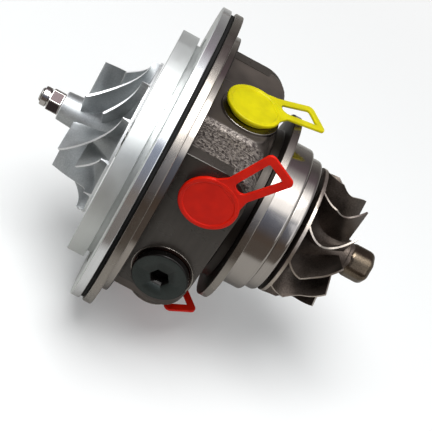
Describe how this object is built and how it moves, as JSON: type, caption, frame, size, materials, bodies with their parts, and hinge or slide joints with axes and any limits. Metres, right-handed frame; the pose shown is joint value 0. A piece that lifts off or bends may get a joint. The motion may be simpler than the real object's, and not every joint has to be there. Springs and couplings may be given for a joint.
{
  "type": "turbo cartridge",
  "caption": "Turbocharger cartridge: cast bearing housing with a spinning rotor, compressor backplate, heat shield and pull-out shipping caps.",
  "frame": {"origin": "on the shaft's axis, in the joint face of the bearing housing's big flange, where the compressor housing's clamp holds the cartridge", "axes": "+X along the shaft towards the turbine, +Z out of the oil inlet, -Y towards the side with the water port and the screw plug"},
  "size_m": [0.1255, 0.1076, 0.1076],
  "materials": {
    "cast_iron": "sand-cast, with turned flanges",
    "turned_aluminium": "fine turned, satin",
    "cast_aluminium": "investment-cast, satin",
    "machined_steel": "ground",
    "nut_steel": "machined",
    "black_steel": "blackened",
    "nickel_alloy": "investment-cast, dark",
    "stainless_sheet": "pressed and polished",
    "bearing_bronze": "machined",
    "spring_steel": "ground",
    "copper": "stamped",
    "black_rubber": "moulded",
    "yellow_plastic": "moulded",
    "red_plastic": "moulded"
  },
  "bodies": {
    "housing": {"bearing_housing": "cast_iron", "compressor_backplate": "turned_aluminium", "backplate_seal_ring": "black_rubber", "backplate_screw_1": "spring_steel", "backplate_screw_2": "spring_steel", "backplate_screw_3": "spring_steel", "compressor_piston_ring": "spring_steel", "turbine_piston_ring": "spring_steel", "bearing_circlip_1": "spring_steel", "bearing_circlip_2": "spring_steel", "bearing_circlip_3": "spring_steel", "bearing_circlip_4": "spring_steel", "thrust_bearing": "bearing_bronze", "thrust_bearing_screw_1": "spring_steel", "thrust_bearing_screw_2": "spring_steel", "thrust_bearing_screw_3": "spring_steel", "oil_deflector": "spring_steel", "heat_shield": "stainless_sheet", "water_port_plug": "black_steel", "plug_seal_washer": "copper"},
    "rotor": {"rotor_shaft": "machined_steel", "flinger_sleeve": "machined_steel", "thrust_collar": "machined_steel", "compressor_wheel": "cast_aluminium", "compressor_nut": "nut_steel", "turbine_wheel": "nickel_alloy"},
    "front_bush": {"front_journal_bearing": "bearing_bronze"},
    "rear_bush": {"rear_journal_bearing": "bearing_bronze"},
    "oil_inlet_closure": {"oil_inlet_cap": "yellow_plastic"},
    "water_port_closure": {"water_port_cap": "red_plastic"},
    "water_outlet_closure": {"water_outlet_cap": "red_plastic"},
    "oil_drain_closure": {"oil_drain_cap": "red_plastic"}
  },
  "joints": [
    {"name": "rotor_spin", "type": "hinge", "parent": "housing", "child": "rotor", "pos_m": [0.0185, 0, 0], "axis": [1, 0, 0], "continuous": true},
    {"name": "front_bearing_spin", "type": "hinge", "parent": "housing", "child": "front_bush", "pos_m": [0.0144, 0, 0], "axis": [1, 0, 0], "continuous": true},
    {"name": "rear_bearing_spin", "type": "hinge", "parent": "housing", "child": "rear_bush", "pos_m": [0.0292, 0, 0], "axis": [1, 0, 0], "continuous": true},
    {"name": "oil_inlet_cap_pull", "type": "slide", "parent": "housing", "child": "oil_inlet_closure", "axis": [0, 0, 1], "range_m": [0, 0.012]},
    {"name": "water_port_cap_pull", "type": "slide", "parent": "housing", "child": "water_port_closure", "axis": [0, -1, 0], "range_m": [0, 0.012]},
    {"name": "water_outlet_cap_pull", "type": "slide", "parent": "housing", "child": "water_outlet_closure", "axis": [0, 1, 0], "range_m": [0, 0.012]},
    {"name": "oil_drain_cap_pull", "type": "slide", "parent": "housing", "child": "oil_drain_closure", "axis": [0, 0, -1], "range_m": [0, 0.012]}
  ]
}
